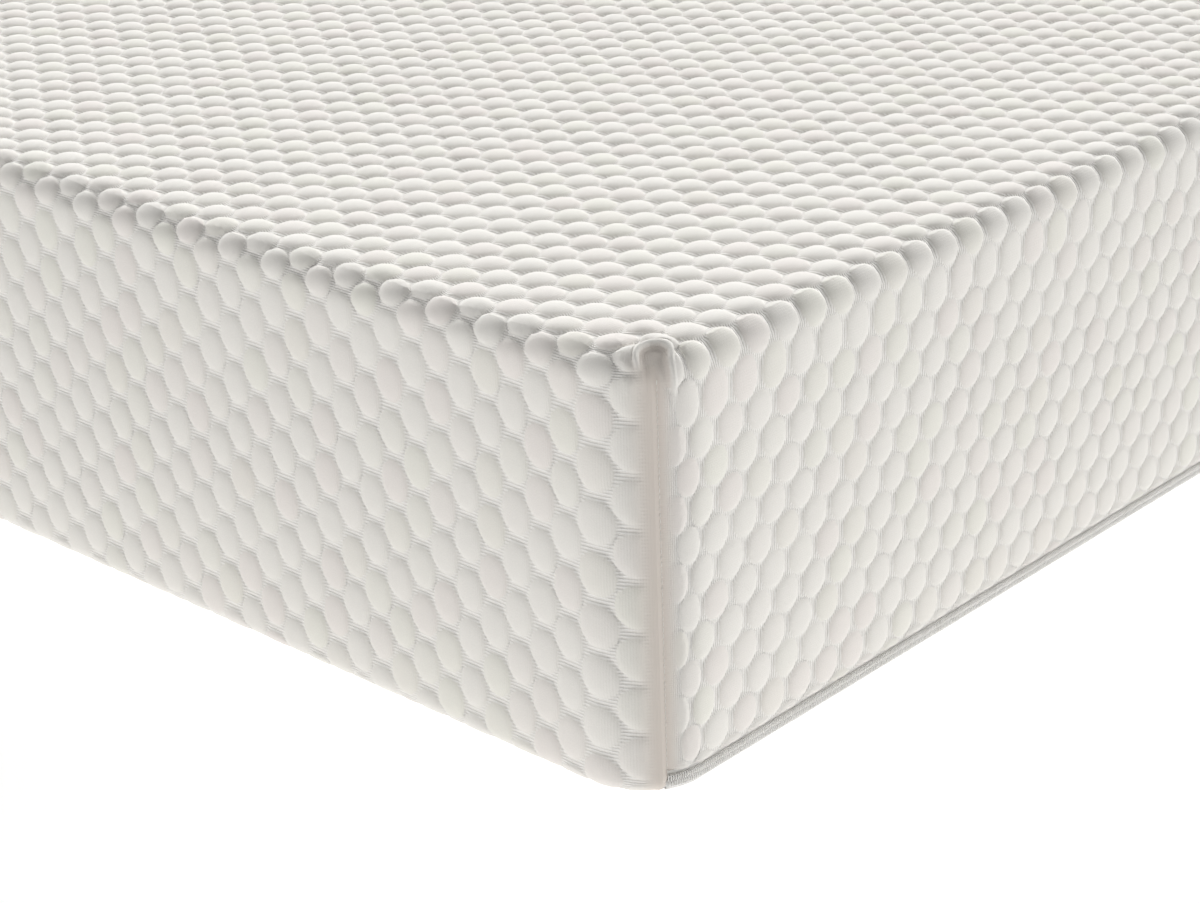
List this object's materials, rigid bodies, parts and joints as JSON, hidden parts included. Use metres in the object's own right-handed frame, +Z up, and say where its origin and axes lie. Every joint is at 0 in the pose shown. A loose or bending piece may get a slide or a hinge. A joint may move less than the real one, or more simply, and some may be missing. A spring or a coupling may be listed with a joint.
{
  "type": "memory foam mattress",
  "caption": "Single-size memory foam mattress in a thick bubble-knit cover with sewn corners, layered foam core, and a coil zip along the foot end.",
  "frame": {"origin": "middle of the underside, on the surface that the mattress rests on", "axes": "+X along the length towards the zipped foot end, +Y across the width, +Z up"},
  "size_m": [1.9, 0.9, 0.25],
  "materials": {
    "cover_knit": "matte",
    "base_fabric": "matte",
    "liner_knit": "matte",
    "memory_foam": "matte",
    "transition_foam": "matte",
    "support_foam": "matte",
    "thread": "satin",
    "zip_tape": "matte",
    "zip_coil": "satin",
    "zip_metal": "satin"
  },
  "bodies": {
    "mattress": {"support_core": "support_foam", "transition_foam": "transition_foam", "comfort_foam": "memory_foam", "inner_liner": "liner_knit", "cover_shell": "cover_knit", "base_panel": "base_fabric", "corner_stitching": "thread", "zip_tape_upper": "zip_tape", "zip_tape_lower": "zip_tape", "zip_coil_upper": "zip_coil", "zip_coil_lower": "zip_coil", "zip_bottom_stop": "zip_metal", "zip_top_stops": "zip_metal"},
    "zip_slider": {"zip_slider_body": "zip_metal", "zip_slider_crown": "zip_metal"},
    "zip_pull": {"zip_pull_tab": "zip_metal"}
  },
  "joints": [
    {"name": "zip_travel", "type": "slide", "parent": "mattress", "child": "zip_slider", "axis": [0, -1, 0], "range_m": [0, 0.776]},
    {"name": "pull_tab_swing", "type": "hinge", "parent": "zip_slider", "child": "zip_pull", "pos_m": [0.94845, 0.388, 0.0085], "axis": [0, 0, 1], "range_deg": [0, 170]}
  ]
}
